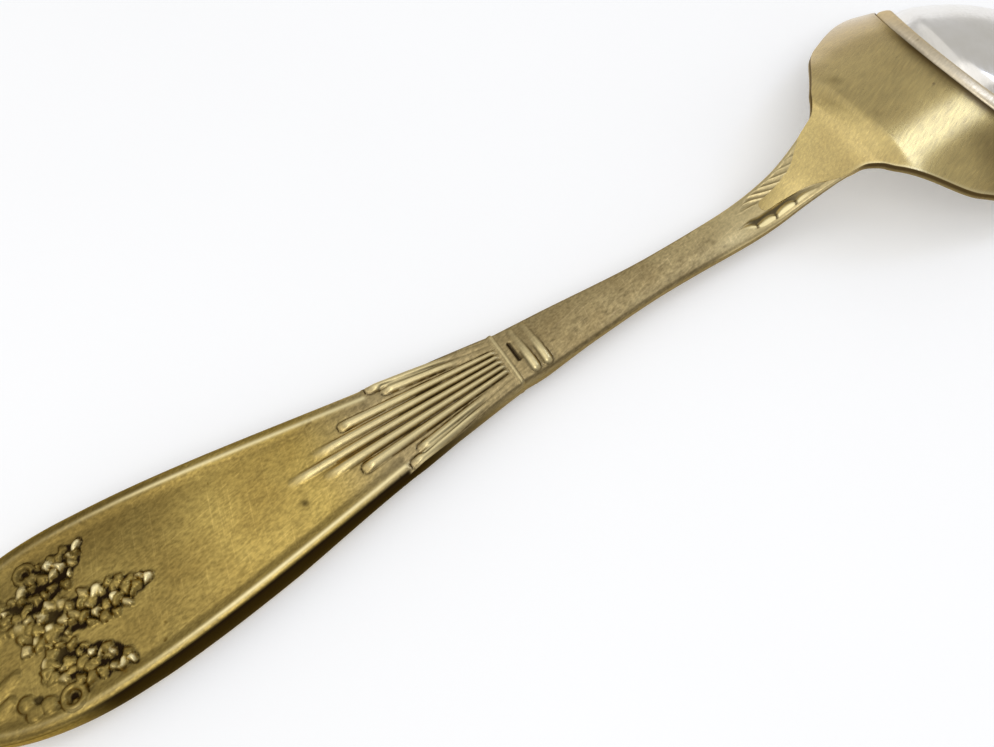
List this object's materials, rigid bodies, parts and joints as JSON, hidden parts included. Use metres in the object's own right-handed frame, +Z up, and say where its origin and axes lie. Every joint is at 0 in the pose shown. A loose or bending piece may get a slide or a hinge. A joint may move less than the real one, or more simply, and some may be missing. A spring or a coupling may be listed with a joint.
{
  "type": "sugar spoon",
  "caption": "Sugar spoon with a struck brass handle of reeds and blossoms, a brass heel cradle let into the stem, and a silver-plated bowl with a seam wire.",
  "frame": {"origin": "centre of the bounding box at the table, with the spoon lying face down", "axes": "+X along the spoon from the handle to the bowl tip, +Z up out of the back of the spoon"},
  "size_m": [0.1443, 0.0356, 0.0119],
  "materials": {
    "handle_brass": "worn satin with dark recesses",
    "cradle_brass": "worn satin polish",
    "bowl_plate": "polished silver plate",
    "wire_brass": "satin"
  },
  "bodies": {
    "root": {"handle": "handle_brass", "heel_cradle": "cradle_brass", "bowl": "bowl_plate", "seam_wire": "wire_brass"}
  },
  "joints": []
}
